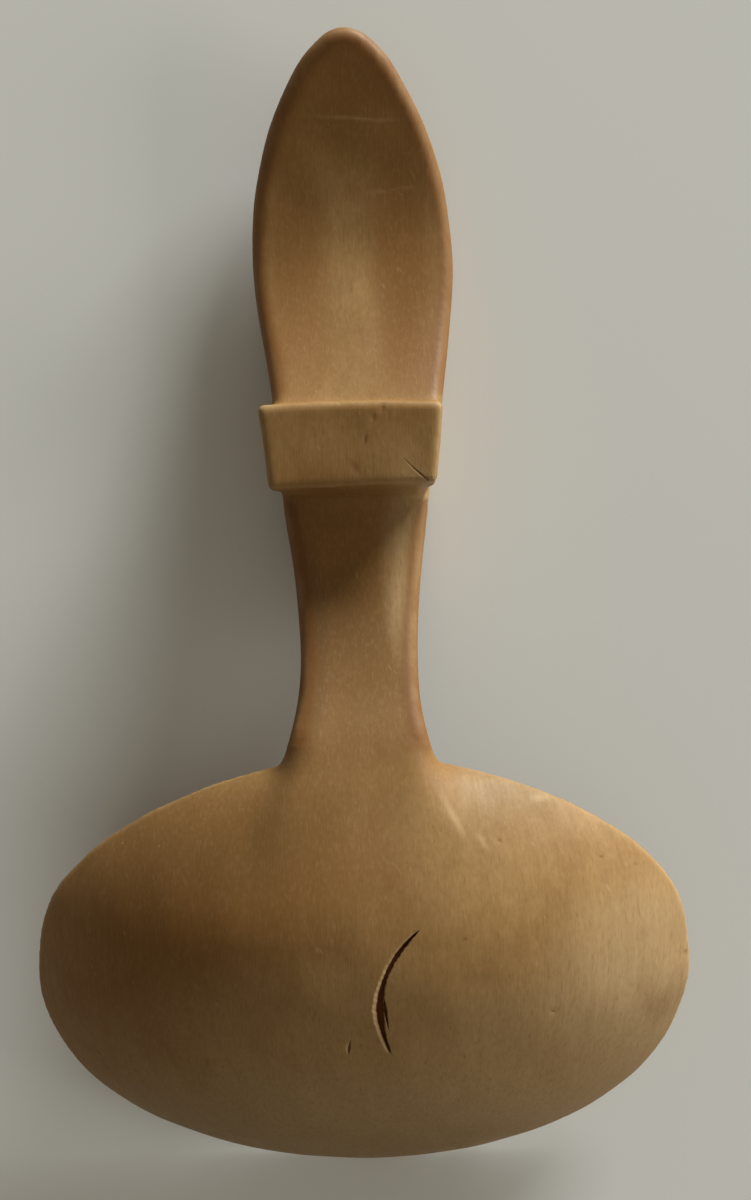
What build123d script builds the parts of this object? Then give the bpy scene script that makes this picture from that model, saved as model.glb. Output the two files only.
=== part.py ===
from build123d import *

import math
import os

# A broad, shallow ladle carved from one billet of close-grained wood, lying mouth down.
# +Y runs from the bowl along the handle to its tip, +Z points up and X runs across the bowl.
# The origin is on the floor, midway along the length. Millimetres and degrees throughout.

# Overall length, front of the rim to the tip of the handle
LENGTH = 222.0

# Bowl: part of a spheroid, cut off by a rim plane that climbs towards the handle
RIM_HALF_WIDTH = 64.7
RIM_HALF_LENGTH = 42.4
RIM_TILT = 16.0
BOWL_DEPTH = 25.5
BOWL_WALL = 4.2
RIM_ROUND = 1.3
ROOT_BITE = 3.2

# Handle seen from above: half widths down its length, and how far it leans to the right.
# The waist and throat keep their share of the neck, the leaf's stations are measured from the tip.
ROOT_HALF = 22.4
ROOT_RUN = 22.0
COLLAR_HALF = 13.9
WAIST_HALF = 11.3
WAIST_SHARE = 0.42
THROAT_HALF = 13.35
THROAT_SHARE = 0.84
NOTCH_HALF = 14.4
NECK_LEAN = 0.4
SHOULDER_HALF = 16.1
SHOULDER_LEAN = 1.2
SHOULDER_FLARE = 7.6
LEAF_HALF = 19.5
LEAF_LEAN = 0.7
LEAF_FROM_TIP = 44.0
TAPER_HALF = 16.6
TAPER_LEAN = 0.3
TAPER_FROM_TIP = 24.3
NOSE_HALF = 10.9
NOSE_FROM_TIP = 10.2
TIP_RADIUS = 6.3
TIP_TURN = 47.0

# Neck seen from the side: how thick it is, and where its back lies. The root sinks into the dome,
# the collar stands over the rim, and the waist and throat keep their share of the climb from the notch.
ROOT_THICK = 12.0
ROOT_SINK = 1.7
COLLAR_THICK = 7.8
COLLAR_RISE = 5.6
WAIST_THICK = 10.6
WAIST_CLIMB = 0.435
THROAT_THICK = 11.6
THROAT_CLIMB = 0.05
NOTCH_THICK = 11.8
NOTCH_Z = 13.0
SHOULDER_Z = 12.8

# Leaf seen from the side: its heel is flat on the floor
HEEL_FROM_TIP = 67.0
LEAF_SWEEP = 230.0
RAMP_Z = 22.0
RAMP_SLOPE = -33.0
LEAF_Z = 10.0
TIP_Z = 15.5
TIP_SLOPE = 11.0

# Rounded edges of the handle
NECK_ROUND = 4.4
LEAF_ROUND = 2.2
FRONT_ROUND = 1.6

# Hook block on the back of the handle
HOOK_FROM_TIP = 73.8
HOOK_FACE_Z = 23.5
HOOK_LEAN = 1.0
HOOK_LENGTH = 15.6
HOOK_HALF_NEAR = 15.9
HOOK_LEFT = 17.8
HOOK_RIGHT = 17.4
HOOK_LEDGE_Z = 13.5
HOOK_FOOT_Z = 8.0
HOOK_OVERHANG = 2.6
HOOK_ROUND = 0.9

# How far the cross planes that part the pieces stand off from the rim and from the notch
SEAM_OFFSET = 3.0

# Bowl geometry that follows from the rim. The rounded rim touches the floor at its front.
tilt = math.radians(RIM_TILT)
dome_radius = (RIM_HALF_LENGTH**2 / BOWL_DEPTH + BOWL_DEPTH) / 2
dome_sink = dome_radius - BOWL_DEPTH
dome_half = RIM_HALF_WIDTH * dome_radius / RIM_HALF_LENGTH
edge_angle = math.acos(dome_sink / dome_radius)
edge_turn = tilt + edge_angle / 2
round_reach = RIM_ROUND / math.sin(edge_angle / 2)
rim_y = RIM_HALF_LENGTH * math.cos(tilt) - LENGTH / 2 + RIM_ROUND - round_reach * math.cos(edge_turn)
rim_z = RIM_HALF_LENGTH * math.sin(tilt) + RIM_ROUND - round_reach * math.sin(edge_turn)
rim_plane = Plane((0, rim_y, rim_z), x_dir=(1, 0, 0), z_dir=(0, -math.sin(tilt), math.cos(tilt)))
axis_y = rim_y + dome_sink * math.sin(tilt)
axis_z = rim_z - dome_sink * math.cos(tilt)
back_rim_y = rim_y + RIM_HALF_LENGTH * math.cos(tilt)
back_rim_z = rim_z + RIM_HALF_LENGTH * math.sin(tilt)

# Stations along the handle, from the tip back to the root inside the bowl's wall
tip_y = LENGTH / 2
nose_y = tip_y - NOSE_FROM_TIP
taper_y = tip_y - TAPER_FROM_TIP
leaf_y = tip_y - LEAF_FROM_TIP
heel_y = tip_y - HEEL_FROM_TIP
hook_far_y = tip_y - HOOK_FROM_TIP
hook_near_y = hook_far_y - HOOK_LENGTH
notch_y = hook_near_y - HOOK_LEAN
hook_seam_y = notch_y - SEAM_OFFSET
throat_y = back_rim_y + THROAT_SHARE * (notch_y - back_rim_y)
waist_y = back_rim_y + WAIST_SHARE * (notch_y - back_rim_y)
bowl_seam_y = back_rim_y + SEAM_OFFSET
root_y = back_rim_y - ROOT_RUN
root_z = axis_z + math.sqrt(dome_radius**2 - (root_y - axis_y) ** 2) - ROOT_SINK
collar_z = back_rim_z + COLLAR_RISE
waist_z = NOTCH_Z + WAIST_CLIMB * (collar_z - NOTCH_Z)
throat_z = NOTCH_Z + THROAT_CLIMB * (collar_z - NOTCH_Z)

tip_turn = math.radians(TIP_TURN)
shoulder_flare = math.radians(SHOULDER_FLARE)
hook_angle = math.atan2(HOOK_LEAN, HOOK_FACE_Z - NOTCH_Z)
blank = 2 * LENGTH


def heading(degrees):
    """Unit direction, in a side profile, that climbs by this angle while going back to the bowl."""
    return (-math.cos(math.radians(degrees)), -math.sin(math.radians(degrees)))


def dome(inset):
    """The spheroid of the bowl's outside, or one that lies this far inside it."""
    half = dome_half - inset
    radius = dome_radius - inset
    arch = EllipticalCenterArc((0, 0), half, radius, start_angle=0, arc_size=180)
    section = make_face([arch, Line((-half, 0), (half, 0))])
    return Pos(0, axis_y, axis_z) * revolve(section, Axis.X)


def on_rim(edge):
    """Whether an edge runs round the rim, in its plane."""
    heights = [abs(rim_plane.to_local_coords(edge @ share).Z) for share in (0.2, 0.5, 0.8)]
    return max(heights) < 0.01 and edge.length > RIM_HALF_WIDTH


def tip_side(side):
    """Where the rounded tip begins on the right (1) or the left (-1)."""
    return (side * TIP_RADIUS * math.cos(tip_turn), tip_y - TIP_RADIUS * (1 - math.sin(tip_turn)))


def leaf_edge(side):
    """One edge of the leaf seen from above, from the hook block to the tip."""
    return Spline(
        (SHOULDER_LEAN + side * SHOULDER_HALF, hook_far_y),
        (LEAF_LEAN + side * LEAF_HALF, leaf_y),
        (TAPER_LEAN + side * TAPER_HALF, taper_y),
        (side * NOSE_HALF, nose_y),
        tip_side(side),
        tangents=[
            (side * math.sin(shoulder_flare), math.cos(shoulder_flare)),
            (-side * math.sin(tip_turn), math.cos(tip_turn)),
        ],
    )


def leaf_outline():
    """The whole leaf seen from above."""
    tip = ThreePointArc(tip_side(1), (0, tip_y), tip_side(-1))
    return make_face([leaf_edge(1), tip, leaf_edge(-1), Line(leaf_edge(-1) @ 0, leaf_edge(1) @ 0)])


def long_edges(solid, upward):
    """The curved edges of the faces that look up (1) or down (-1)."""
    faces = solid.faces().filter_by(lambda face: face.normal_at().Z * upward > 0.5)
    edges = ShapeList()
    for face in faces:
        edges += face.edges().filter_by(GeomType.LINE, reverse=True)
    return edges


def neck_section(y, back, half, lean, thick):
    """Cross section of the neck, this thick below its back and rounder there than on its front."""
    section = Rectangle(2 * half, thick)
    section = fillet(section.vertices().group_by(Axis.Y)[-1], NECK_ROUND)
    section = fillet(section.vertices().group_by(Axis.Y)[0], FRONT_ROUND)
    return Plane((lean, y, back - thick / 2), x_dir=(1, 0, 0), z_dir=(0, -1, 0)) * section


def neck_core():
    """The neck, lofted from inside the bowl's wall to the far side of the hook block."""
    sections = [
        neck_section(root_y, root_z, ROOT_HALF, 0, ROOT_THICK),
        neck_section(back_rim_y, collar_z, COLLAR_HALF, 0, COLLAR_THICK),
        neck_section(waist_y, waist_z, WAIST_HALF, NECK_LEAN, WAIST_THICK),
        neck_section(throat_y, throat_z, THROAT_HALF, NECK_LEAN, THROAT_THICK),
        neck_section(notch_y, NOTCH_Z, NOTCH_HALF, NECK_LEAN, NOTCH_THICK),
        neck_section(hook_far_y, SHOULDER_Z, SHOULDER_HALF, SHOULDER_LEAN, SHOULDER_Z),
    ]
    return loft(sections) - dome(ROOT_BITE)


def leaf_core():
    """The leaf-shaped grip: its side profile sawn across the blank, cut to its outline and rounded."""
    tip_low = (tip_y, LEAF_SWEEP - math.sqrt(LEAF_SWEEP**2 - (tip_y - heel_y) ** 2))
    profile = make_face(
        [
            Line((hook_far_y, 0), (heel_y, 0)),
            TangentArc((heel_y, 0), tip_low, tangent=(1, 0)),
            Line(tip_low, (tip_y, TIP_Z)),
            Spline(
                (tip_y, TIP_Z),
                (leaf_y, LEAF_Z),
                (hook_far_y, RAMP_Z),
                tangents=[heading(TIP_SLOPE), heading(RAMP_SLOPE)],
            ),
            Line((hook_far_y, RAMP_Z), (hook_far_y, 0)),
        ]
    )
    slab = Pos(-blank / 2, 0, 0) * extrude(Plane.YZ * profile, blank)
    leaf = slab & extrude(leaf_outline(), blank)
    leaf = fillet(long_edges(leaf, 1), LEAF_ROUND)
    return fillet(long_edges(leaf, -1), FRONT_ROUND)


def hook_block():
    """The wedge-shaped block, with its leaning underside and its sides cut away below."""
    start_y = notch_y - HOOK_LENGTH / 2
    reach = (hook_far_y - start_y) / HOOK_LENGTH
    left = HOOK_LEFT + (HOOK_HALF_NEAR - HOOK_LEFT) * reach
    right = HOOK_RIGHT + (HOOK_HALF_NEAR - HOOK_RIGHT) * reach
    outline = Polyline(
        (-left, start_y),
        (right, start_y),
        (HOOK_RIGHT, hook_far_y),
        (-HOOK_LEFT, hook_far_y),
        close=True,
    )
    block = Pos(0, 0, HOOK_FOOT_Z) * extrude(make_face(outline), HOOK_FACE_Z - HOOK_FOOT_Z)
    for end in (0, -1):
        side = block.faces().sort_by(Axis.X)[end]
        foot = side.edges().sort_by(Axis.Z)[0]
        block = chamfer(foot, HOOK_LEDGE_Z - HOOK_FOOT_Z, HOOK_OVERHANG, reference=side)
    underside = Plane(
        (0, notch_y, NOTCH_Z),
        x_dir=(1, 0, 0),
        z_dir=(0, math.cos(hook_angle), -math.sin(hook_angle)),
    )
    block = split(block, underside, Keep.TOP)
    worn = block.edges().filter_by(lambda edge: edge.center().Z > HOOK_LEDGE_Z)
    return fillet(worn, HOOK_ROUND)


def stretch(solid, low_y, high_y):
    """The length of a solid that lies between two cross planes."""
    return solid & (Pos(0, (low_y + high_y) / 2, 0) * Box(blank, high_y - low_y, blank))


def bowl_with_root(neck):
    """The hollow bowl with the root of the neck on its back, and its rim rounded."""
    shell = split(dome(0), rim_plane, Keep.TOP) - dome(BOWL_WALL)
    bowl = shell + stretch(neck, root_y, bowl_seam_y)
    return fillet(bowl.edges().filter_by(on_rim), RIM_ROUND)


if __name__ == "__main__":
    os.makedirs("parts", exist_ok=True)
    neck = neck_core()
    pieces = {
        "bowl": bowl_with_root(neck),
        "neck": stretch(neck, bowl_seam_y, hook_seam_y),
        "rim_hook": stretch(neck, hook_seam_y, hook_far_y) + hook_block(),
        "leaf_grip": leaf_core(),
    }
    for name, solid in pieces.items():
        export_step(solid, f"parts/{name}.step")
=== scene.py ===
"""Dresses the carved wooden spoon: eased edges, a split, wear and wood, in a plain studio."""

import logging
import math
from dataclasses import dataclass, field
from enum import Enum

import bmesh
import bpy
import numpy as np
from mathutils import Euler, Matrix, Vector


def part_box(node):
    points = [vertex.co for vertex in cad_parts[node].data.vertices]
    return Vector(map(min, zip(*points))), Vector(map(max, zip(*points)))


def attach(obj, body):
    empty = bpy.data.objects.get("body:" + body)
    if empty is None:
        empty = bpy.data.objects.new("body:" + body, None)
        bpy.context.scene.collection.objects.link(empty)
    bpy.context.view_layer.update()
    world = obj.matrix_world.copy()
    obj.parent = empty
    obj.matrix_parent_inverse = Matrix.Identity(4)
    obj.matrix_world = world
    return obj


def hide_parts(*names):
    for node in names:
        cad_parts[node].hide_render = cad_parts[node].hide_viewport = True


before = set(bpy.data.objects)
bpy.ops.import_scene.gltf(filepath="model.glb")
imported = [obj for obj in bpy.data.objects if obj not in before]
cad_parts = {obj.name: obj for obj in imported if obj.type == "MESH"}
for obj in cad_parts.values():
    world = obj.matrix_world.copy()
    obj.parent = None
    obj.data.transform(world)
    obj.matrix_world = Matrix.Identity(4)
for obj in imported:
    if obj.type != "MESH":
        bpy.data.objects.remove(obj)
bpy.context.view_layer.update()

MM = 0.001
MM_PER_METRE = 1000.0
IMAGE_HEIGHT = 1200

Colour = tuple[float, float, float, float]
Pair = tuple[float, float]
Span = tuple[float, float]

log = logging.getLogger("spoon")


class Member(Enum):
    """The spoon's members, by the names of their nodes."""

    BOWL = "bowl"
    NECK = "neck"
    HOOK = "rim_hook"
    LEAF = "leaf_grip"


class Mark(Enum):
    """What a vertex carries to the wood, by the names of the mesh attributes."""

    ARRIS = "arris"
    HANDLED = "handled"
    # Darker tint in the hollows
    CAVITY = "cavity"
    # Dark tint: painted shade in the cracks' slots, stain in the dents
    SHADE_AND_STAIN = "shade_and_stain"
    # Pale tint: pale scuffs, and a painted highlight on the cracks' slopes
    CHALK = "chalk"


def srgb(red: int, green: int, blue: int) -> Colour:
    """Turns screen values from 0 to 255 into a linear colour.

    Args:
        red: Red value.
        green: Green value.
        blue: Blue value.

    Returns:
        The colour with an alpha of 1.
    """
    linear = []
    for value in (red, green, blue):
        share = value / 255
        linear.append(share / 12.92 if share <= 0.04045 else ((share + 0.055) / 1.055) ** 2.4)
    return (linear[0], linear[1], linear[2], 1.0)


def ramp(values: np.ndarray, start: float, full: float) -> np.ndarray:
    """Climbs straight from 0 at the start to 1 where it is full, and is level outside them."""
    return np.clip((values - start) / (full - start), 0, 1)


def soften(climb: np.ndarray) -> np.ndarray:
    """Turns a straight climb from 0 to 1 into one with level ends."""
    return climb * climb * (3 - 2 * climb)


def swell(values: np.ndarray, middle: float, reach: float) -> np.ndarray:
    """A soft hill: 1 in the middle and about a third at the reach."""
    return np.exp(-(((values - middle) / reach) ** 2))


class Signal:
    """A number, colour, vector or shader on a socket; numbers can be used in a sum."""

    def __init__(self, board: "Board", socket: bpy.types.NodeSocket) -> None:
        """Keeps the socket and the board it is on."""
        self.board = board
        self.socket = socket

    def math(self, operation: str, *others: "Signal | float", clamp: bool = False) -> "Signal":
        """Adds a Math node that starts with this number.

        Args:
            operation: The Math node's operation.
            others: The other operands.
            clamp: Whether the result is held between 0 and 1.

        Returns:
            The result.
        """
        values = dict(enumerate((self, *others)))
        return self.board.add("ShaderNodeMath", {"operation": operation, "use_clamp": clamp}, values)

    def __add__(self, other: "Signal | float") -> "Signal":
        """Sum."""
        return self.math("ADD", other)

    __radd__ = __add__

    def __mul__(self, other: "Signal | float") -> "Signal":
        """Product."""
        return self.math("MULTIPLY", other)

    __rmul__ = __mul__

    def __sub__(self, other: "Signal | float") -> "Signal":
        """Difference."""
        return self.math("SUBTRACT", other)

    def __rsub__(self, other: float) -> "Signal":
        """A number less this one."""
        return self.board.add("ShaderNodeMath", {"operation": "SUBTRACT"}, {0: other, 1: self})

    def __truediv__(self, other: "Signal | float") -> "Signal":
        """Quotient."""
        return self.math("DIVIDE", other)

    def __rtruediv__(self, other: float) -> "Signal":
        """A number divided by this one."""
        return self.board.add("ShaderNodeMath", {"operation": "DIVIDE"}, {0: other, 1: self})

    def clamped(self) -> "Signal":
        """This number held between 0 and 1."""
        return self.math("ADD", 0.0, clamp=True)

    def rise(self, low: float, high: float) -> "Signal":
        """Smooth step from 0 at low to 1 at high.

        Args:
            low: Where the step starts.
            high: Where the step ends.

        Returns:
            A number from 0 to 1.
        """
        return self.board.add(
            "ShaderNodeMapRange",
            {"interpolation_type": "SMOOTHSTEP", "clamp": True},
            {"Value": self, "From Min": low, "From Max": high, "To Min": 0.0, "To Max": 1.0},
        )


Axes = tuple[Signal, Signal, Signal]


class Board:
    """The node tree of a material or world, with one way to add a node."""

    def __init__(self, owner: bpy.types.Material | bpy.types.World) -> None:
        """Takes over the owner's node tree and empties it.

        Args:
            owner: The material or world.
        """
        owner.use_nodes = True
        self.tree = owner.node_tree
        self.tree.nodes.clear()

    def node(
        self, kind: str, settings: dict | None = None, sockets: dict | None = None
    ) -> bpy.types.Node:
        """Adds a node.

        Args:
            kind: The node's type.
            settings: Properties, set first.
            sockets: Values or links, by the socket's name or number.

        Returns:
            The node.
        """
        node = self.tree.nodes.new(kind)
        for key, value in (settings or {}).items():
            setattr(node, key, value)
        for key, value in (sockets or {}).items():
            if isinstance(value, Signal):
                self.tree.links.new(value.socket, node.inputs[key])
            else:
                node.inputs[key].default_value = value
        return node

    def add(
        self, kind: str, settings: dict | None = None, sockets: dict | None = None, output: str | int = 0
    ) -> Signal:
        """Adds a node and gives one of its outputs.

        Args:
            kind: The node's type.
            settings: Properties, set first.
            sockets: Values or links, by the socket's name or number.
            output: The output's name or number.

        Returns:
            That output.
        """
        return Signal(self, self.node(kind, settings, sockets).outputs[output])

    def blend(self, factor: Signal, first: Signal | Colour, second: Signal | Colour) -> Signal:
        """Mixes two colours.

        Args:
            factor: Share of the second colour.
            first: The first colour.
            second: The second colour.

        Returns:
            The mixed colour.
        """
        settings = {"data_type": "RGBA", "blend_type": "MIX", "clamp_factor": True}
        return self.add("ShaderNodeMix", settings, {0: factor, 6: first, 7: second}, output=2)


@dataclass(frozen=True)
class Zone:
    """A soft-edged egg of space, in millimetres, where the wood has another tone."""

    centre: tuple[float, float, float]
    reach: tuple[float, float, float]
    strength: float

    def mask(self, axes: Axes) -> Signal:
        """How far a point lies inside.

        Args:
            axes: X, Y and Z in millimetres.

        Returns:
            The strength in the middle, falling to 0 at the reach.
        """
        spread = None
        for axis, middle, reach in zip(axes, self.centre, self.reach):
            share = (axis - middle) / reach
            spread = share * share if spread is None else spread + share * share
        return (1.0 - spread.rise(0.0, 1.0)) * self.strength


@dataclass(frozen=True)
class Noise:
    """Noise with a size of its own along each axis: waves a millimetre, and octaves."""

    pitch: tuple[float, float, float]
    octaves: float
    harshness: float = 0.55

    def over(self, board: Board, axes: Axes) -> Signal:
        """Lays the noise over a surface.

        Args:
            board: The material's board.
            axes: X, Y and Z in millimetres.

        Returns:
            A number about 0.5.
        """
        scaled = {index: axis * rate for index, (axis, rate) in enumerate(zip(axes, self.pitch))}
        vector = board.add("ShaderNodeCombineXYZ", sockets=scaled)
        sockets = {"Vector": vector, "Scale": 1.0, "Detail": self.octaves, "Roughness": self.harshness}
        return board.add("ShaderNodeTexNoise", {"noise_dimensions": "3D"}, sockets)


class Figure:
    """The wood's figure: noises over its faces, along its fibres and on a slant to them.

    Each noise is a number about 0.5. The fibres fan out over the bowl's back as they climb.
    """

    SWAY = Noise((0.045, 0.012, 0.045), 2.0)
    DRIFT = Noise((0.022, 0.016, 0.022), 3.0)
    BLOTCH = Noise((0.09, 0.06, 0.09), 4.0)
    MOTTLE = Noise((0.3, 0.2, 0.3), 3.0)
    GRIT = Noise((1.3, 0.7, 1.3), 3.0)
    BAND = Noise((0.13, 0.008, 0.04), 2.0)
    STREAK = Noise((0.8, 0.03, 0.2), 3.0)
    FIBRE = Noise((4.5, 0.3, 1.2), 3.0)
    PORE = Noise((2.6, 0.24, 1.6), 2.0)
    FLECK = Noise((0.9, 0.32, 0.9), 4.0)
    FAN_LEVEL = 20.0
    FAN_RATE = 0.006
    SLANT = 0.35

    def __init__(self, board: Board) -> None:
        """Reads the place on the piece and lays every noise over it.

        Args:
            board: The material's board.
        """
        place = board.add("ShaderNodeTexCoord", output="Object")
        split = board.node("ShaderNodeSeparateXYZ", sockets={0: place})
        x, y, z = (Signal(board, split.outputs[axis]) * MM_PER_METRE for axis in "XYZ")
        self.axes = (x, y, z)
        fanned = (x / ((z - self.FAN_LEVEL) * self.FAN_RATE + 1.0), y, z)
        slanted = (x + y * self.SLANT, y, z)
        self.sway = self.SWAY.over(board, self.axes)
        self.drift = self.DRIFT.over(board, self.axes)
        self.blotch = self.BLOTCH.over(board, self.axes)
        self.mottle = self.MOTTLE.over(board, self.axes)
        self.grit = self.GRIT.over(board, self.axes)
        self.band = self.BAND.over(board, fanned)
        self.streak = self.STREAK.over(board, fanned)
        self.fibre = self.FIBRE.over(board, fanned)
        self.pore = self.PORE.over(board, fanned)
        self.fleck = self.FLECK.over(board, slanted)


@dataclass(frozen=True)
class WornWood:
    """Close-grained wood, oiled by hands: silky fibres along Y, faint growth rings and a warm tone; some
    tones are painted shade and painted light.
    """

    pale: Colour = srgb(155, 120, 73)
    deep: Colour = srgb(128, 94, 50)
    ring_line: Colour = srgb(112, 77, 36)
    # Warm hand-worn tone; also laid as painted shade on the neck, the tip and the bowl's left
    patina_and_shade: Colour = srgb(116, 76, 29)
    hand_oil: Colour = srgb(106, 64, 20)
    stain: Colour = srgb(126, 106, 71)
    # Darker tint laid in the hollows
    hollow_dark: Colour = srgb(62, 38, 16)
    # Pale tint of fibres, flecks, grit, scuffs and arrises; also laid as painted light on the bowl and as a
    # painted highlight on the cracks' slopes
    chalk: Colour = srgb(190, 160, 116)
    # Painted shade: a darker tone laid where the block's shadow falls on the neck and round the neck's root
    painted_shade: Colour = srgb(92, 68, 38)
    # The dark tint: painted shade in the cracks' slots, stain in the dents
    split_dark: Colour = srgb(106, 56, 29)
    pith_x: float = 4.0
    pith_z: float = 104.0
    ring_pitch: float = 3.3
    ring_flatness: float = 0.7
    ring_sway: float = 7.0
    ring_flank: Span = (14.0, 34.0)
    roughness: float = 0.56
    gloss: float = 0.2
    bump_strength: float = 0.3
    bump_height: float = 0.12
    fibre_dark: float = 0.2
    fibre_pale: float = 0.1
    fleck_pale: float = 0.22
    blotch_warm: float = 0.2
    grit_pale: float = 0.06
    grit_dark: float = 0.16
    grit_step: Span = (0.45, 0.75)
    pore_dark: float = 0.36
    oil_share: float = 0.75
    hollow_dark_share: float = 0.5
    arris_least: float = 0.12
    arris_more: float = 0.2
    patina_and_shade_zones: tuple[Zone, ...] = (
        # Darker over the bowl's left: partly a warmer tone, partly painted shade on the side away from the
        # light
        Zone((-46.0, -68.0, 14.0), (38.0, 28.0, 50.0), 0.6),
        Zone((-25.0, -50.0, 30.0), (42.0, 24.0, 60.0), 0.8),
        Zone((-10.0, 62.0, 10.0), (8.5, 36.0, 40.0), 0.75),
        Zone((10.5, 62.0, 10.0), (8.5, 38.0, 40.0), 0.85),
        # Darker tip: partly hand wear, partly painted shade where the tip turns away from the light
        Zone((0.0, 112.0, 15.0), (40.0, 37.0, 50.0), 0.75),
        # Painted shadow of the block on the neck
        Zone((-8.0, 4.0, 14.0), (24.0, 32.0, 40.0), 0.9),
        Zone((2.0, -20.0, 24.0), (28.0, 24.0, 40.0), 0.6),
        Zone((0.0, 43.0, 18.0), (28.0, 16.0, 40.0), 0.35),
    )
    painted_shade_zones: tuple[Zone, ...] = (
        # Painted shadow of the block on the neck
        Zone((-2.0, -14.0, 20.0), (26.0, 24.0, 40.0), 0.45),
        Zone((-13.0, -8.0, 14.0), (9.0, 32.0, 40.0), 0.75),
        # Painted shade on the bowl's back, left of and below the neck's root
        Zone((-30.0, -42.0, 14.0), (40.0, 22.0, 40.0), 0.4),
        Zone((4.0, -48.0, 26.0), (30.0, 22.0, 40.0), 0.22),
    )
    stain_zones: tuple[Zone, ...] = (
        Zone((28.0, -37.0, 10.0), (12.0, 6.0, 40.0), 0.3),
        Zone((-30.0, -36.0, 6.0), (30.0, 9.0, 16.0), 0.45),
        Zone((-4.0, -100.0, 14.0), (70.0, 18.0, 50.0), 0.5),
    )
    wear_and_painted_light_zones: tuple[Zone, ...] = (
        # Paler right end of the bowl: partly worn wood, partly a painted sheen
        Zone((52.0, -73.0, 12.0), (26.0, 26.0, 50.0), 0.45),
        # Painted light on the bowl's lower right
        Zone((34.0, -86.0, 20.0), (34.0, 20.0, 60.0), 0.3),
        Zone((11.0, 6.0, 14.0), (7.0, 26.0, 40.0), 0.4),
        # Painted light on the lower bowl, which faces away from the key
        Zone((-8.0, -86.0, 20.0), (52.0, 24.0, 60.0), 0.2),
    )

    def material(self) -> bpy.types.Material:
        """Builds the wood.

        Returns:
            The material.
        """
        material = bpy.data.materials.new("wood")
        board = Board(material)
        figure = Figure(board)
        marks = {mark: self.read(board, mark) for mark in Mark}
        colour = self.grown(board, figure)
        colour = self.toned(board, figure, colour)
        colour = self.flecked(board, figure, colour)
        colour = self.worn(board, figure, marks, colour)

        rough = (figure.streak - 0.5) * 0.2 + (figure.blotch - 0.5) * 0.2
        rough = rough + marks[Mark.CAVITY] * 0.2 + marks[Mark.SHADE_AND_STAIN] * 0.3 + self.roughness
        height = figure.fibre * 0.5 + figure.streak * 0.5 + figure.mottle * 0.6 + figure.grit * 0.4
        relief = {"Strength": self.bump_strength, "Distance": self.bump_height * MM, "Height": height}
        finish = {
            "Base Color": colour,
            "Roughness": rough,
            "Normal": board.add("ShaderNodeBump", sockets=relief),
            "Specular IOR Level": self.gloss,
        }
        shader = board.add("ShaderNodeBsdfPrincipled", sockets=finish)
        board.node("ShaderNodeOutputMaterial", sockets={"Surface": shader})
        return material

    def grown(self, board: Board, figure: Figure) -> Signal:
        """The fresh wood: long bands and streaks, with growth rings that show on the bowl's flanks.

        Args:
            board: The material's board.
            figure: The wood's figure.

        Returns:
            The colour.
        """
        x, _, z = figure.axes
        across = x - self.pith_x
        below = (z - self.pith_z) * self.ring_flatness
        reach = (across * across + below * below).math("SQRT") + (figure.sway - 0.5) * self.ring_sway
        season = (reach / self.ring_pitch).math("FRACT")
        line = season.rise(0.55, 0.95) * (1.0 - season.rise(0.95, 1.0))
        line = line * across.math("ABSOLUTE").rise(*self.ring_flank)
        tone = (figure.band - 0.5) * 0.6 + (figure.streak - 0.5) * 0.35
        tone = tone + (figure.drift - 0.5) * 1.2 + (figure.mottle - 0.5) * 0.9 + 0.5
        colour = board.blend(tone.clamped(), self.pale, self.deep)
        return board.blend(line * (0.05 + figure.streak * 0.2), colour, self.ring_line)

    def toned(self, board: Board, figure: Figure, colour: Signal) -> Signal:
        """Adds the broad tones: warm hand-worn tones partly painted as shade, painted shade, stains, and
        pale tones that are partly wear and partly painted light.

        Args:
            board: The material's board.
            figure: The wood's figure.
            colour: The colour so far.

        Returns:
            The new colour.
        """
        patchy_share = 0.65 + figure.drift * 0.7
        damp = 0.4 + figure.blotch * 1.2
        mottled_share = figure.streak * 1.2 + figure.mottle * 0.8
        tones = (
            (self.patina_and_shade_zones, patchy_share, self.patina_and_shade),
            (self.painted_shade_zones, patchy_share, self.painted_shade),
            (self.stain_zones, damp, self.stain),
            (self.wear_and_painted_light_zones, mottled_share, self.chalk),
        )
        for zones, share, tint in tones:
            for zone in zones:
                colour = board.blend(zone.mask(figure.axes) * share, colour, tint)
        return colour

    def flecked(self, board: Board, figure: Figure, colour: Signal) -> Signal:
        """Adds what shows close up: fibres, flecks, blotches, grit and pores.

        Args:
            board: The material's board.
            figure: The wood's figure.
            colour: The colour so far.

        Returns:
            The new colour.
        """
        fleck = figure.fleck.rise(0.64, 0.74) * figure.mottle.rise(0.42, 0.6)
        layers = (
            ((figure.fibre - 0.5).rise(0.0, 0.25) * self.fibre_dark, self.ring_line),
            ((0.5 - figure.fibre).rise(0.02, 0.26) * self.fibre_pale, self.chalk),
            (fleck * self.fleck_pale, self.chalk),
            (figure.blotch.rise(0.54, 0.72) * self.blotch_warm, self.patina_and_shade),
            (figure.grit.rise(*self.grit_step) * self.grit_pale, self.chalk),
            ((1.0 - figure.grit).rise(*self.grit_step) * self.grit_dark, self.ring_line),
            (figure.pore.rise(0.58, 0.74) * self.pore_dark, self.ring_line),
        )
        for share, tint in layers:
            colour = board.blend(share, colour, tint)
        return colour

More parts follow.
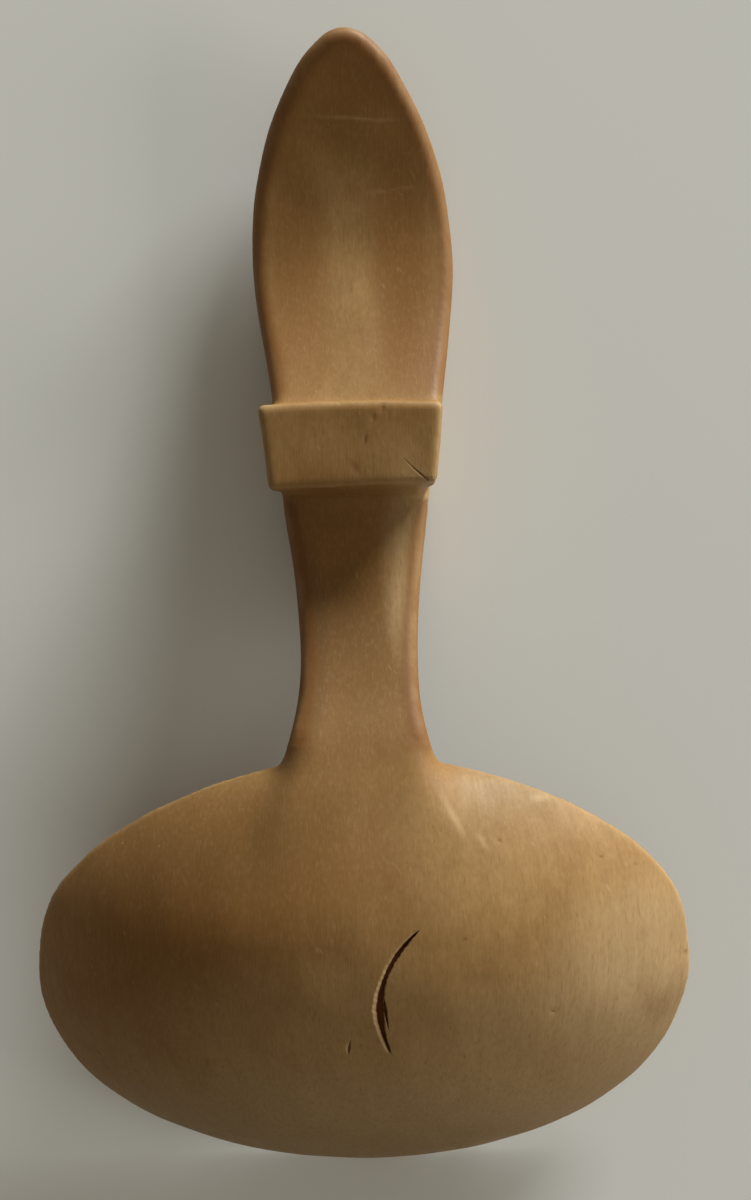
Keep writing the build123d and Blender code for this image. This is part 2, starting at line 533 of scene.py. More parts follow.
    def worn(self, board: Board, figure: Figure, marks: dict[Mark, Signal], colour: Signal) -> Signal:
        """Adds what the mesh carries: oiled and worn edges, darker hollows, pale scuffs, a painted
        highlight on the cracks' slopes, and a dark tint that is painted shade in the slots and stain in the
        dents.

        Args:
            board: The material's board.
            figure: The wood's figure.
            marks: The vertices' marks.
            colour: The colour so far.

        Returns:
            The new colour.
        """
        mottled_share = figure.mottle.rise(0.35, 0.65) * self.arris_more + self.arris_least
        colour = board.blend(marks[Mark.HANDLED] * self.oil_share, colour, self.hand_oil)
        colour = board.blend(marks[Mark.ARRIS] * mottled_share, colour, self.chalk)
        # Darker in the hollows
        colour = board.blend(marks[Mark.CAVITY] * self.hollow_dark_share, colour, self.hollow_dark)
        colour = board.blend(marks[Mark.CHALK], colour, self.chalk)
        return board.blend(marks[Mark.SHADE_AND_STAIN], colour, self.split_dark)

    @staticmethod
    def read(board: Board, mark: Mark) -> Signal:
        """Reads a vertex attribute as a number.

        Args:
            board: The material's board.
            mark: Which attribute.

        Returns:
            The number.
        """
        settings = {"attribute_type": "GEOMETRY", "attribute_name": mark.value}
        return board.add("ShaderNodeAttribute", settings, output="Fac")


@dataclass(frozen=True)
class PaleFloor:
    """The finish of the plain pale floor."""

    colour: Colour = srgb(226, 225, 220)
    roughness: float = 0.8

    def material(self) -> bpy.types.Material:
        """Builds the floor's finish.

        Returns:
            The material.
        """
        material = bpy.data.materials.new("pale_floor")
        board = Board(material)
        sockets = {"Base Color": self.colour, "Roughness": self.roughness}
        shader = board.add("ShaderNodeBsdfPrincipled", sockets=sockets)
        board.node("ShaderNodeOutputMaterial", sockets={"Surface": shader})
        return material


@dataclass(frozen=True)
class Region:
    """A box of space, in millimetres, that reaches as far to the left as to the right."""

    y: Span
    z: Span
    half_width: float = math.inf

    def holds(self, points: np.ndarray) -> np.ndarray:
        """Finds the points inside.

        Args:
            points: One row of x, y and z for each point, in millimetres.

        Returns:
            True for each point inside.
        """
        x, y, z = points.T
        along = (y > self.y[0]) & (y < self.y[1])
        upright = (z > self.z[0]) & (z < self.z[1])
        return along & upright & (np.abs(x) < self.half_width)


@dataclass(frozen=True)
class Crack:
    """A split along a bent line, in millimetres, seen from above.

    It is a dark slot with a pale slope beside it: the slot's dark tint is painted shade and the
    slope's pale tint a painted highlight. The slope lies to the right of the line's direction and
    the slot's steep wall to the left. The widths are pairs of a place along the line, from 0 to 1,
    and half the slot's width there.
    """

    start: Pair
    bend: Pair
    end: Pair
    widths: tuple[Pair, ...]
    depth: float
    slope: float = 0.0
    # Dark tint in the slot: painted shade
    shade_and_stain: float = 0.97
    # Pale tint on the slope: painted highlight
    chalk: float = 0.0
    ragged: float = 0.0
    long_tear: float = 61.0
    short_tear: float = 143.0
    steps: int = 161
    least_half: float = 0.001
    deep_half: float = 0.18
    near_wall: Span = (-0.85, -0.45)
    far_wall: Span = (1.0, 0.7)
    slope_foot: float = -0.6
    least_run: float = 0.01
    torn_from: Span = (0.15, 0.5)
    torn_least: float = 0.2

    def line(self) -> np.ndarray:
        """Points along the line.

        Returns:
            One row of x and y for each step.
        """
        t = np.linspace(0, 1, self.steps)[:, None]
        ends = (1 - t) ** 2 * np.array(self.start) + t**2 * np.array(self.end)
        return ends + 2 * t * (1 - t) * np.array(self.bend)

    def measure(self, points: np.ndarray) -> tuple[np.ndarray, np.ndarray]:
        """Measures points against the line.

        Args:
            points: One row of x, y and z for each point, in millimetres.

        Returns:
            The distance, positive to the left of the line, and the place along it from 0 to 1.
        """
        line = self.line()
        along = np.gradient(line, axis=0)
        gap = points[:, None, :2] - line[None]
        nearest = np.argmin((gap**2).sum(2), axis=1)
        rows = np.arange(len(points))
        offset = gap[rows, nearest]
        tangent = along[nearest]
        side = np.sign(tangent[:, 0] * offset[:, 1] - tangent[:, 1] * offset[:, 0])
        return np.sqrt((offset**2).sum(1)) * side, nearest / (len(line) - 1)

    def opening(self, place: np.ndarray) -> np.ndarray:
        """Half the slot's width at each place along the line, with its ragged edge.

        Args:
            place: Places from 0 to 1.

        Returns:
            Half widths in millimetres.
        """
        stops, halves = zip(*self.widths)
        half = np.interp(place, stops, halves)
        tear = np.sin(self.long_tear * place) + 0.7 * np.sin(self.short_tear * place + 1)
        return half * (1 + self.ragged * tear)

    def profile(self, points: np.ndarray) -> tuple[np.ndarray, np.ndarray]:
        """Where points lie in the slot and on the slope beside it.

        Args:
            points: One row of x, y and z for each point, in millimetres.

        Returns:
            Shares from 0 to 1 of the slot and of the slope.
        """
        distance, place = self.measure(points)
        half = np.maximum(self.opening(place), self.least_half)
        open_share = np.clip(half / self.deep_half, 0, 1)
        across = distance / half
        slot = ramp(across, *self.near_wall) * ramp(across, *self.far_wall) * open_share
        crest = -half - self.slope * open_share
        run = np.maximum(self.slope_foot * half - crest, self.least_run)
        slope = np.clip((distance - crest) / run, 0, 1)
        slope_share = np.maximum(ramp(place, *self.torn_from), self.torn_least)
        return slot, slope * (distance < half) * open_share * slope_share


@dataclass(frozen=True)
class Spot:
    """A small mark, in millimetres, seen from above: a dent, a stain or a pale scuff."""

    x: float
    y: float
    across: float
    along: float
    turn: float = 0.0
    depth: float = 0.0
    # Dark tint: a stain in the dent
    shade_and_stain: float = 0.0
    chalk: float = 0.0

    def share(self, points: np.ndarray) -> np.ndarray:
        """How strongly the mark shows at each point.

        Args:
            points: One row of x, y and z for each point, in millimetres.

        Returns:
            1 in the middle, falling away outside.
        """
        east = points[:, 0] - self.x
        north = points[:, 1] - self.y
        sine = math.sin(math.radians(self.turn))
        cosine = math.cos(math.radians(self.turn))
        across = (east * cosine - north * sine) / self.across
        along = (east * sine + north * cosine) / self.along
        return np.exp(-(across**2) - along**2)


# Half widths of the bowl's split along its line
SPLIT_WIDTHS = (
    ((0.0, 0.0), (0.06, 0.3), (0.18, 0.5), (0.3, 0.5), (0.42, 0.42), (0.54, 0.66))
    + ((0.66, 0.9), (0.76, 0.7), (0.86, 0.4), (0.95, 0.22), (1.0, 0.0))
)


@dataclass(frozen=True)
class Refinement:
    """One round of finer faces round the cracks, and round the spots of a least depth."""

    reach: float
    cuts: int
    least_depth: float


@dataclass
class CarvedBillet:
    """The whole spoon as one carved form, before it is parted into its members.

    Lengths are in millimetres. A Span gives the place where a move starts and where it is full.
    """

    # The even skin and the easing of all edges
    voxel: float = 0.64
    weld: float = 0.001
    ease_passes: int = 3
    block_ease: float = 0.45
    block_region: Region = Region(y=(19.0, 38.5), z=(13.5, math.inf))
    floor_clear: float = 0.05

    # The neck's root on the bowl's back, and the cove under the block
    root_region: Region = Region(y=(-60.0, -28.2), z=(19.0, math.inf), half_width=32.0)
    root_passes: int = 300
    root_ease_passes: int = 80
    root_near: Span = (-28.5, -34.5)
    root_far: Span = (-62.0, -52.0)
    root_side: Span = (36.0, 28.0)
    root_level: Span = (22.0, 26.0)
    root_facing: Span = (0.3, 0.6)
    notch_region: Region = Region(y=(12.0, 21.4), z=(9.0, 18.5), half_width=15.5)
    notch_passes: int = 40
    cove_batch: int = 10
    cove_pull: float = 0.6

    # The neck's flattened back
    neck_from: float = -26.5
    neck_to: float = 18.6
    neck_step: float = 1.0
    neck_slice: float = 0.6
    neck_round: float = 4.4
    neck_square: float = 3.8
    root_flare: float = 0.55
    root_climb: float = 0.55
    neck_near: Span = (-33.0, -25.0)
    neck_far: Span = (20.4, 18.9)

    # The tool's faint waves
    wave_count: int = 9
    wave_depth: float = 0.15
    wave_rates: tuple[float, float, float] = (0.55, 0.4, 0.5)
    wave_turn: float = 2.4
    wave_tilt: float = 1.7
    wave_shift: float = 1.3

    # The outline of the bowl and the leaf
    bowl_middle: float = -69.0
    bowl_half: float = 42.0
    bowl_near_full: float = 0.033
    bowl_near_fade: Span = (-29.0, -35.0)
    bowl_far_full: float = 0.019
    bowl_far: Span = (0.25, 0.75)
    bowl_far_skew: float = 0.008
    bowl_far_reach: float = 0.2
    near_rim_lift: float = 1.7
    near_rim_width: float = 32.0
    near_rim_inner: Span = (-54.0, -36.0)
    near_rim_outer: Span = (-16.0, -30.0)
    leaf_full: float = 0.034
    leaf_y: float = 93.0
    leaf_reach: float = 20.0
    tip_full: float = 0.06
    tip_y: float = 107.0
    tip_reach: float = 4.0

    # The block's skewed underside, leaning ends and bowed far edge
    block_skew: float = 0.027
    block_level: Span = (13.5, 16.5)
    under_back: Span = (30.0, 22.0)
    under_front: Span = (19.0, 21.0)
    block_lean: float = 0.1
    lean_top: float = 23.5
    lean_most: float = 12.0
    lean_level: Span = (6.0, 10.0)
    lean_side: Span = (12.5, 14.5)
    lean_back: Span = (26.0, 22.0)
    lean_front: float = 18.0
    block_bow: float = 0.45
    bow_half: float = 17.0
    bow_level: Span = (21.0, 22.5)
    bow_near: Span = (33.0, 36.0)
    bow_far: Span = (39.5, 37.5)

    # Wear by touch: how far edges sink when a copy is relaxed, and where hands hold the spoon
    edge_passes: tuple[int, int] = (10, 50)
    arris_sink: Span = (0.07, 0.29)
    oil_sink: Span = (0.1, 0.42)
    cavity_rise: Span = (0.05, 0.25)
    leaf_held: Span = (38.0, 40.0)
    neck_held: Span = (-32.0, -26.0)
    neck_held_to: float = 19.5

    # Cracks and spots, on faces that look up
    least_facing: float = 0.2
    crack_reach: float = 3.0
    slope_depth: float = 0.35
    # How strongly the slots are painted dark as shade
    slot_shade_gain: float = 1.6
    # How strongly the cracks' slopes are painted pale as a highlight
    chalk_gain: float = 3.0
    spot_edge: float = 0.03
    refinements: tuple[Refinement, ...] = (
        Refinement(reach=2.4, cuts=2, least_depth=0.0),
        Refinement(reach=1.7, cuts=1, least_depth=0.05),
    )
    cracks: tuple[Crack, ...] = (
        Crack(
            start=(10.6, -60.2),
            bend=(-1.1, -70.1),
            end=(4.9, -83.7),
            widths=SPLIT_WIDTHS,
            depth=1.3,
            slope=0.5,
            chalk=0.6,
            ragged=0.07,
        ),
        Crack(
            start=(3.7, -72.4),
            bend=(3.8, -75.1),
            end=(4.5, -79.2),
            widths=((0.0, 0.0), (0.4, 0.34), (1.0, 0.0)),
            depth=0.9,
        ),
        Crack(
            start=(-2.6, -80.3),
            bend=(-2.9, -82.0),
            end=(-3.1, -83.7),
            widths=((0.0, 0.0), (0.5, 0.3), (1.0, 0.0)),
            depth=0.5,
            slope=0.5,
            shade_and_stain=0.6,
            chalk=0.5,
        ),
        Crack(
            start=(9.1, 27.2),
            bend=(11.4, 24.5),
            end=(14.05, 22.4),
            widths=((0.0, 0.0), (0.5, 0.11), (1.0, 0.24)),
            depth=0.2,
            shade_and_stain=0.35,
        ),
    )
    spots: tuple[Spot, ...] = (
        Spot(25.7, -45.2, 0.35, 0.35, depth=0.12, shade_and_stain=0.35),
        Spot(45.0, -49.3, 0.3, 0.3, depth=0.12, shade_and_stain=0.3),
        Spot(51.8, -51.2, 0.3, 0.3, depth=0.1, shade_and_stain=0.25),
        Spot(18.6, -62.3, 0.3, 0.3, depth=0.1, shade_and_stain=0.3),
        Spot(35.0, -77.1, 0.5, 0.35, depth=0.12, shade_and_stain=0.25),
        Spot(62.0, -69.3, 0.4, 0.5, depth=0.15, shade_and_stain=0.4),
        Spot(24.4, -33.3, 0.5, 0.4, depth=0.2, shade_and_stain=0.35),
        Spot(5.9, 36.2, 0.45, 0.9, turn=20.0, depth=0.1, shade_and_stain=0.4),
        Spot(4.1, 34.3, 0.35, 0.8, turn=15.0, depth=0.1, shade_and_stain=0.35),
        Spot(2.4, 30.0, 0.3, 1.1, turn=10.0, depth=0.1, shade_and_stain=0.4),
        Spot(0.4, 24.9, 0.8, 1.2, turn=-30.0, depth=0.05, shade_and_stain=0.3),
        Spot(17.4, -40.6, 0.6, 3.6, turn=-28.0, chalk=0.4),
        Spot(34.0, -38.0, 1.8, 0.7, chalk=0.3),
        Spot(22.5, -45.0, 0.5, 1.6, turn=-35.0, chalk=0.3),
        Spot(2.5, 93.5, 7.0, 0.25, turn=4.0, chalk=0.25),
        Spot(9.0, 80.0, 5.0, 0.2, turn=-6.0, chalk=0.2),
    )

    # The cross planes where the members part
    seam_clear: float = 0.4
    cut_weld: float = 0.0005
    mesh: bpy.types.Mesh | None = field(default=None, init=False)

    def rough_out(self) -> None:
        """Joins copies of the members' solids and skins them with an even net of faces."""
        blank = bmesh.new()
        for member in Member:
            blank.from_mesh(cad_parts[member.value].data)
        bmesh.ops.remove_doubles(blank, verts=blank.verts, dist=self.weld * MM)
        mesh = bpy.data.meshes.new("blank")
        blank.to_mesh(mesh)
        blank.free()
        helper = bpy.data.objects.new("blank", mesh)
        bpy.context.scene.collection.objects.link(helper)
        skin = helper.modifiers.new("skin", "REMESH")
        skin.mode = "VOXEL"
        skin.voxel_size = self.voxel * MM
        depsgraph = bpy.context.evaluated_depsgraph_get()
        self.mesh = bpy.data.meshes.new_from_object(helper.evaluated_get(depsgraph))
        bpy.data.objects.remove(helper)
        bpy.data.meshes.remove(mesh)

    def carve(self) -> None:
        """Eases the edges, blends the neck into the bowl and block, and puts in the marks of age."""
        skin = self.points()
        block = self.block_region.holds(skin)
        self.relax(np.where(block, self.block_ease, 1.0), self.ease_passes)
        self.square_neck()
        self.fill_hollows(self.root_region.holds(skin), self.root_passes)
        self.relax(self.root_share(skin), self.root_ease_passes)
        self.fill_hollows(self.notch_region.holds(skin), self.notch_passes)
        self.shape_by_hand()
        self.mark_edges()
        self.refine()
        self.open_cracks()
        self.press_spots()

    def root_share(self, points: np.ndarray) -> np.ndarray:
        """Where the neck's root is smoothed into the bowl's back.

        Args:
            points: The vertices' places, in millimetres.

        Returns:
            Shares from 0 to 1.
        """
        x, y, z = points.T
        inward = ramp(y, *self.root_near) * ramp(y, *self.root_far)
        upward = ramp(z, *self.root_level) * ramp(self.normals()[:, 2], *self.root_facing)
        return inward * upward * ramp(np.abs(x), *self.root_side)

    def around(self, points: np.ndarray) -> np.ndarray:
        """The middle of each vertex's neighbours.

        Args:
            points: The vertices' places.

        Returns:
            One row for each vertex.
        """
        ends = np.empty(len(self.mesh.edges) * 2, dtype=np.int32)
        self.mesh.edges.foreach_get("vertices", ends)
        first, second = ends.reshape(-1, 2).T
        total = len(points)
        count = np.bincount(ends, minlength=total)
        sums = [
            np.bincount(first, column[second], total) + np.bincount(second, column[first], total)
            for column in points.T
        ]
        return (np.array(sums) / count).T

    def relax(self, weights: np.ndarray, passes: int) -> None:
        """Moves vertices halfway to the middle of their neighbours, again and again.

        Args:
            weights: How far each vertex may follow, from 0 to 1.
            passes: How many times.
        """
        points = self.points()
        for _ in range(passes):
            points += (self.around(points) - points) * (0.5 * weights)[:, None]
        self.place(points)

    def fill_hollows(self, inside: np.ndarray, passes: int) -> None:
        """Fills inner corners with a soft cove and leaves outer edges as they are.

        Args:
            inside: Which vertices may move.
            passes: How many times, a multiple of the batch between two looks at the normals.
        """
        for _ in range(passes // self.cove_batch):
            points = self.points()
            normals = self.normals()
            for _ in range(self.cove_batch):
                rise = ((self.around(points) - points) * normals).sum(1)
                points += normals * (np.maximum(rise, 0) * inside * self.cove_pull)[:, None]
            self.place(points)

    def square_neck(self) -> None:
        """Flattens the neck's back and draws its two long edges out to narrow rounds."""
        points = self.points()
        x, y, z = points.T.copy()
        stations = np.arange(self.neck_from, self.neck_to, self.neck_step)
        extents = []
        for station in stations:
            here = np.abs(y - station) < self.neck_slice
            extents.append((x[here].min(), x[here].max(), z[here].max()))
        left, right, top = (np.interp(y, stations, column) for column in zip(*extents))
        beyond = np.minimum(y - self.neck_from, 0) * self.root_flare
        left = left + beyond
        right = right - beyond
        top = top - beyond * self.root_climb
        middle = (left + right) / 2
        side = np.sign(x - middle)
        across = np.abs(x - middle) - (right - left) / 2 + self.neck_round
        up = z - top + self.neck_round
        fade = ramp(y, *self.neck_near) * ramp(y, *self.neck_far)
        corner = (across > 0) & (up > 0) & (fade > 0)
        angle = np.arctan2(up, across)
        power = self.neck_square
        stretch = (np.abs(np.cos(angle)) ** power + np.abs(np.sin(angle)) ** power) ** (-1 / power)
        gain = np.where(corner, (stretch - 1) * fade, 0)
        points[:, 0] += side * across * gain
        points[:, 2] += up * gain
        self.place(points)

    def shape_by_hand(self) -> None:
        """Gives the faces the tool's waves, the outline its swells and the block its uneven edges."""
        points = self.points()
        moved = points + self.tool_waves(points) + self.outline_swells(points)
        moved[:, 1] += self.block_edges(points)
        moved[:, 2] = np.maximum(moved[:, 2], self.floor_clear)
        self.place(moved)

    def tool_waves(self, points: np.ndarray) -> np.ndarray:
        """The faint waves that the tool leaves on all faces.

        Args:
            points: The vertices' places, in millimetres.

        Returns:
            One move for each vertex.
        """
        x, y, z = (column * rate for column, rate in zip(points.T, self.wave_rates))
        waves = np.zeros(len(points))
        for index in range(self.wave_count):
            turn = index * self.wave_turn
            run = x * math.cos(turn) + y * math.sin(turn) + z * math.cos(turn * self.wave_tilt)
            waves += np.sin(run + index * self.wave_shift) / self.wave_count
        return self.normals() * (waves * self.wave_depth)[:, None]

    def outline_swells(self, points: np.ndarray) -> np.ndarray:
        """Fuller sides for the bowl, the leaf and its tip, and a rim lifted beside the neck.

        Args:
            points: The vertices' places, in millimetres.

        Returns:
            One move for each vertex.
        """
        x, y, _ = points.T
        place = np.clip((y - self.bowl_middle) / self.bowl_half, -1, 1)
        near = np.clip(place, 0, 1)
        far = ramp(-place, *self.bowl_far)
        full = self.bowl_near_full * (4 * near * (1 - near)) ** 2 * ramp(y, *self.bowl_near_fade)
        full = full + self.bowl_far_full * soften(far)
        full = full + self.leaf_full * swell(y, self.leaf_y, self.leaf_reach)
        full = full + self.tip_full * swell(y, self.tip_y, self.tip_reach)
        lift = soften(ramp(y, *self.near_rim_inner) * ramp(y, *self.near_rim_outer))
        moves = np.zeros_like(points)
        moves[:, 0] = x * full
        moves[:, 1] = self.near_rim_lift * lift * swell(x, 0, self.near_rim_width)
        moves[:, 1] -= (self.bowl_far_skew * x + self.bowl_far_reach) * far
        return moves

    def block_edges(self, points: np.ndarray) -> np.ndarray:
        """The block's uneven edges: a skewed underside, leaning ends and a bowed far edge.

        Args:
            points: The vertices' places, in millimetres.

        Returns:
            One move along Y for each vertex.
        """
        x, y, z = points.T
        under = ramp(y, *self.under_back) * ramp(y, *self.under_front) * ramp(z, *self.block_level)
        ends = ramp(np.abs(x), *self.lean_side) * ramp(y, *self.lean_back) * (y > self.lean_front)
        lean = np.clip(self.lean_top - z, 0, self.lean_most) * ramp(z, *self.lean_level)
        far = ramp(z, *self.bow_level) * ramp(y, *self.bow_near) * ramp(y, *self.bow_far)
        bow = np.clip(1 - (x / self.bow_half) ** 2, 0, 1)
        return self.block_skew * x * under + self.block_lean * lean * ends + self.block_bow * far * bow

    def refine(self) -> None:
        """Adds faces where the cracks and the spots need them."""
        form = bmesh.new()
        form.from_mesh(self.mesh)
        for refinement in self.refinements:
            self.divide(form, refinement)
        form.to_mesh(self.mesh)
        form.free()

    def divide(self, form: bmesh.types.BMesh, refinement: Refinement) -> None:
        """Divides the edges near the marks.

        Args:
            form: The mesh.
            refinement: How near, how often, and which spots.
        """
        form.normal_update()
        form.verts.index_update()
        points = np.array([vertex.co for vertex in form.verts]) / MM
        facing = np.array([vertex.normal.z for vertex in form.verts])
        near = np.zeros(len(points), bool)
        for crack in self.cracks:
            rows = self.rows_near(points, facing, crack, refinement.reach)
            distance, _ = crack.measure(points[rows])
            near[rows] |= np.abs(distance) < refinement.reach
        for spot in self.spots:
            if spot.depth >= refinement.least_depth:
                near |= (spot.share(points) > self.spot_edge) & (facing > self.least_facing)
        edges = [edge for edge in form.edges if all(near[vertex.index] for vertex in edge.verts)]
        bmesh.ops.subdivide_edges(form, edges=edges, cuts=refinement.cuts, use_grid_fill=True)

    def rows_near(
        self, points: np.ndarray, facing: np.ndarray, crack: Crack, reach: float
    ) -> np.ndarray:
        """Finds the upward points in the box round a crack.

        Args:
            points: All points, in millimetres.
            facing: How far each point's normal looks up.
            crack: The crack.
            reach: How far the box stands off.

        Returns:
            The rows of those points.
        """
        line = crack.line()
        low = line.min(0) - reach
        high = line.max(0) + reach
        inside = ((points[:, :2] > low) & (points[:, :2] < high)).all(1)
        return np.flatnonzero(inside & (facing > self.least_facing))

    def points(self) -> np.ndarray:
        """All vertices.

        Returns:
            One row of x, y and z for each vertex, in millimetres.
        """
        return self.rows_of("co") / MM

    def normals(self) -> np.ndarray:
        """All vertex normals."""
        return self.rows_of("normal")

    def rows_of(self, what: str) -> np.ndarray:
        """Reads a vector from every vertex.

        Args:
            what: The name of the vertex property.

        Returns:
            One row of three numbers for each vertex.
        """
        flat = np.empty(len(self.mesh.vertices) * 3, np.float32)
        self.mesh.vertices.foreach_get(what, flat)
        return flat.reshape(-1, 3).astype(float)

    def place(self, points: np.ndarray) -> None:
        """Moves all vertices.

        Args:
            points: New places in millimetres.
        """
        self.mesh.vertices.foreach_set("co", (points * MM).astype(np.float32).ravel())
        self.mesh.update()

    def store(self, mark: Mark, values: np.ndarray) -> None:
        """Keeps a number for each vertex, the larger one where it already has one.

        Args:
            mark: Which attribute.
            values: The numbers, held between 0 and 1.
        """
        layer = self.mesh.attributes.get(mark.value)
        if layer is None:
            layer = self.mesh.attributes.new(mark.value, "FLOAT", "POINT")
        old = np.empty(len(values), np.float32)
        layer.data.foreach_get("value", old)
        layer.data.foreach_set("value", np.maximum(old, np.clip(values, 0, 1)).astype(np.float32))

    def mark_edges(self) -> None:
        """Marks worn arrises, handled edges and darker hollows by how far relaxed copies sink or fill."""
        before = self.points()
        normals = self.normals()
        y = before[:, 1]
        sinks = []
        soft = before.copy()
        for passes in self.edge_passes:
            for _ in range(passes):
                soft += (self.around(soft) - soft) * 0.5
            sinks.append(((before - soft) * normals).sum(1))
        narrow, wide = sinks
        held = ramp(y, *self.leaf_held) + ramp(y, *self.neck_held) * (y < self.neck_held_to)
        oil_start, oil_full = self.oil_sink
        self.store(Mark.ARRIS, ramp(narrow, *self.arris_sink))
        self.store(Mark.HANDLED, (wide - oil_start) / (oil_full - oil_start) * held)
        self.store(Mark.CAVITY, ramp(-narrow, *self.cavity_rise))
        self.store(Mark.SHADE_AND_STAIN, np.zeros(len(before)))
        self.store(Mark.CHALK, np.zeros(len(before)))

    def open_cracks(self) -> None:
        """Opens the bowl's split with its sloped side, its splinter and nick, and the block's crack; the
        slots are painted dark as shade and the slopes pale as a highlight.
        """
        points = self.points()
        facing = self.normals()[:, 2]
        sunk, shade_and_stain, chalk = np.zeros((3, len(points)))
        for crack in self.cracks:
            rows = self.rows_near(points, facing, crack, self.crack_reach)
            slot, slope = crack.profile(points[rows])
            shape = np.maximum(slot, slope * min(self.slope_depth, crack.slope))
            # Painted shade in the slot
            dark = np.clip(slot * self.slot_shade_gain, 0, 1)
            # Painted highlight on the slope
            slope_share = np.clip(slope * self.chalk_gain, 0, 1) * (crack.slope > 0)
            sunk[rows] = np.maximum(sunk[rows], crack.depth * shape)
            shade_and_stain[rows] = np.maximum(shade_and_stain[rows], crack.shade_and_stain * dark)
            chalk[rows] = np.maximum(chalk[rows], crack.chalk * slope_share)
        self.sink(points, sunk, shade_and_stain, chalk)

    def press_spots(self) -> None:
        """Sinks and tints the small marks."""
        points = self.points()
        upward = self.normals()[:, 2] > self.least_facing
        sunk, shade_and_stain, chalk = np.zeros((3, len(points)))
        for spot in self.spots:
            share = spot.share(points) * upward
            sunk = np.maximum(sunk, spot.depth * share)
            shade_and_stain = np.maximum(shade_and_stain, spot.shade_and_stain * share)
            chalk = np.maximum(chalk, spot.chalk * share)
        self.sink(points, sunk, shade_and_stain, chalk)

    def sink(
        self, points: np.ndarray, sunk: np.ndarray, shade_and_stain: np.ndarray, chalk: np.ndarray
    ) -> None:
        """Lowers vertices and keeps how dark and how pale they are.

        Args:
            points: The vertices' places, in millimetres.
            sunk: How far each one goes down.
            shade_and_stain: How dark it is, from 0 to 1.
            chalk: How pale it is, from 0 to 1.
        """
        points[:, 2] -= sunk
        self.place(points)
        self.store(Mark.SHADE_AND_STAIN, shade_and_stain)
        self.store(Mark.CHALK, chalk)

    def part(self, member: Member, wood: bpy.types.Material) -> bpy.types.Object:
        """Cuts one member out of the form along its cross planes and closes its ends.

        Args:
            member: Which member.
            wood: Its finish.

        Returns:
            The finished piece.
        """
        order = list(Member)
        index = order.index(member)
        form = bmesh.new()
        form.from_mesh(self.mesh)
        if index > 0:
            self.cut(form, self.seam(order[index - 1]), -1)
        if index < len(order) - 1:
            self.cut(form, self.seam(member), 1)
        mesh = bpy.data.meshes.new(member.value + "_carved")
        form.to_mesh(mesh)
        form.free()
        mesh.materials.append(wood)
        piece = bpy.data.objects.new(member.value + "_carved", mesh)
        bpy.context.scene.collection.objects.link(piece)
        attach(piece, "root")
        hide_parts(member.value)
        return piece

    def seam(self, member: Member) -> float:
        """Where a member ends towards the tip; the block keeps the whole of its far face."""
        clear = self.seam_clear * MM if member is Member.HOOK else 0.0
        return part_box(member.value)[1].y + clear

    def cut(self, form: bmesh.types.BMesh, place: float, side: int) -> None:
        """Cuts a form across, keeps one side and closes the cut with a flat face.

        Args:
            form: The mesh.
            place: Where the cut lies along Y.
            side: 1 to take away what lies beyond the cut, -1 to take away what lies before it.
        """
        everything = form.verts[:] + form.edges[:] + form.faces[:]
        result = bmesh.ops.bisect_plane(
            form,
            geom=everything,
            dist=self.cut_weld * MM,
            plane_co=(0, place, 0),
            plane_no=(0, side, 0),
            clear_outer=True,
        )
        rim = [item for item in result["geom_cut"] if isinstance(item, bmesh.types.BMEdge)]
        rim = [edge for edge in rim if edge.is_boundary]
        for face in form.faces:
            face.smooth = True
        filled = bmesh.ops.contextual_create(form, geom=rim)
        for face in filled["faces"]:
            face.smooth = False
        for edge in rim:
            edge.smooth = False


@dataclass(frozen=True)
class SoftLight:
    """A soft rectangular light, turned to the spoon from a few metres off.

    The azimuth runs from the handle's tip towards the right, in degrees. Lengths are in metres.
    """

    name: str
    power: float
    azimuth: float
    elevation: float
    width: float
    height: float
    colour: tuple[float, float, float]
    distance: float = 6.0

    def hang(self) -> None:
        """Hangs the light."""
        lamp = bpy.data.lights.new(self.name, "AREA")
        lamp.shape = "RECTANGLE"
        lamp.size = self.width
        lamp.size_y = self.height
        lamp.energy = self.power
        lamp.color = self.colour
        light = bpy.data.objects.new(self.name, lamp)
        turn = math.radians(self.azimuth)
        lift = math.radians(self.elevation)
        level = math.cos(lift)
        towards = Vector((math.sin(turn) * level, math.cos(turn) * level, math.sin(lift)))
        light.location = towards * self.distance
        light.rotation_euler = towards.to_track_quat("Z", "Y").to_euler()
        bpy.context.scene.collection.objects.link(light)


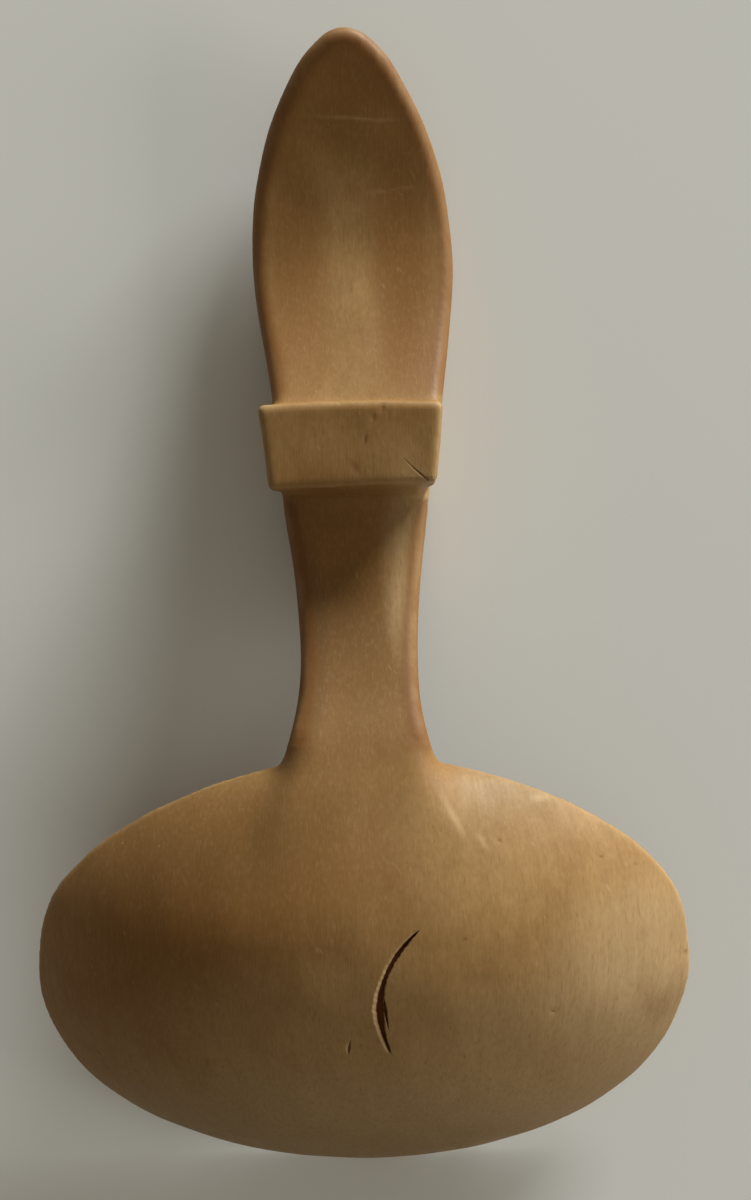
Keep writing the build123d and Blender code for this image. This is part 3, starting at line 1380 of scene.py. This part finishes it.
@dataclass
class Studio:
    """Plain pale floor, two soft lights from the right and the camera straight above.

    The camera's place is in millimetres and its roll in degrees. The floor is measured in metres.
    """

    camera_height: float = 410.0
    camera_x: float = 3.76
    camera_y: float = -0.05
    camera_roll: float = -1.27
    focal_pixels: float = 2050.0
    sensor_height: float = 36.0
    near_clip: float = 10.0
    floor_size: float = 2.4
    key: SoftLight = SoftLight(
        name="key",
        power=800.0,
        azimuth=31.0,
        elevation=8.4,
        width=2.8,
        height=1.6,
        colour=(0.95, 1.0, 1.0),
    )
    fill: SoftLight = SoftLight(
        name="fill",
        power=137.0,
        azimuth=98.0,
        elevation=14.0,
        width=3.6,
        height=2.4,
        colour=(1.0, 0.98, 0.92),
    )
    ambient: float = 0.205
    ambient_colour: Colour = (1.0, 0.91, 0.73, 1.0)
    backdrop: float = 0.55
    backdrop_colour: Colour = (0.9, 0.9, 0.89, 1.0)

    def build(self) -> None:
        """Makes the floor, the light, the world and the camera."""
        self.lay_floor()
        self.key.hang()
        self.fill.hang()
        self.fill_world()
        self.set_camera()
        bpy.context.scene.view_settings.view_transform = "Standard"

    def lay_floor(self) -> None:
        """Lays the floor under the spoon."""
        form = bmesh.new()
        bmesh.ops.create_grid(form, x_segments=2, y_segments=2, size=self.floor_size / 2)
        mesh = bpy.data.meshes.new("floor")
        form.to_mesh(mesh)
        form.free()
        mesh.materials.append(PaleFloor().material())
        floor = bpy.data.objects.new("floor", mesh)
        bpy.context.scene.collection.objects.link(floor)

    def fill_world(self) -> None:
        """Sets the even light from all round, and the pale backdrop in the picture and in gloss."""
        world = bpy.data.worlds.new("studio")
        bpy.context.scene.world = world
        board = Board(world)
        path = board.node("ShaderNodeLightPath")
        shown = Signal(board, path.outputs["Is Camera Ray"])
        for ray in ("Is Glossy Ray", "Is Transmission Ray"):
            shown = shown.math("MAXIMUM", Signal(board, path.outputs[ray]))
        even = {"Color": self.ambient_colour, "Strength": self.ambient}
        seen = {"Color": self.backdrop_colour, "Strength": self.backdrop}
        light = board.add("ShaderNodeBackground", sockets=even)
        backdrop = board.add("ShaderNodeBackground", sockets=seen)
        mix = board.add("ShaderNodeMixShader", sockets={0: shown, 1: light, 2: backdrop})
        board.node("ShaderNodeOutputWorld", sockets={"Surface": mix})

    def set_camera(self) -> None:
        """Sets the camera straight above, turned so that the handle leans as in the photograph."""
        lens = bpy.data.cameras.new("camera")
        lens.sensor_fit = "VERTICAL"
        lens.sensor_height = self.sensor_height
        lens.lens = self.focal_pixels / IMAGE_HEIGHT * self.sensor_height
        lens.clip_start = self.near_clip * MM
        camera = bpy.data.objects.new("camera", lens)
        camera.location = Vector((self.camera_x, self.camera_y, self.camera_height)) * MM
        camera.rotation_euler = Euler((0.0, 0.0, math.radians(self.camera_roll)))
        bpy.context.scene.collection.objects.link(camera)
        bpy.context.scene.camera = camera


def main() -> None:
    """Builds the spoon and its studio."""
    logging.basicConfig(level=logging.INFO, format="%(name)s: %(message)s")
    wood = WornWood().material()
    billet = CarvedBillet()
    billet.rough_out()
    log.info("skin: %d faces", len(billet.mesh.polygons))
    billet.carve()
    for member in Member:
        piece = billet.part(member, wood)
        triangles = sum(len(face.vertices) - 2 for face in piece.data.polygons)
        log.info("%s: %d triangles", piece.name, triangles)
    Studio().build()


if __name__ == "__main__":
    main()
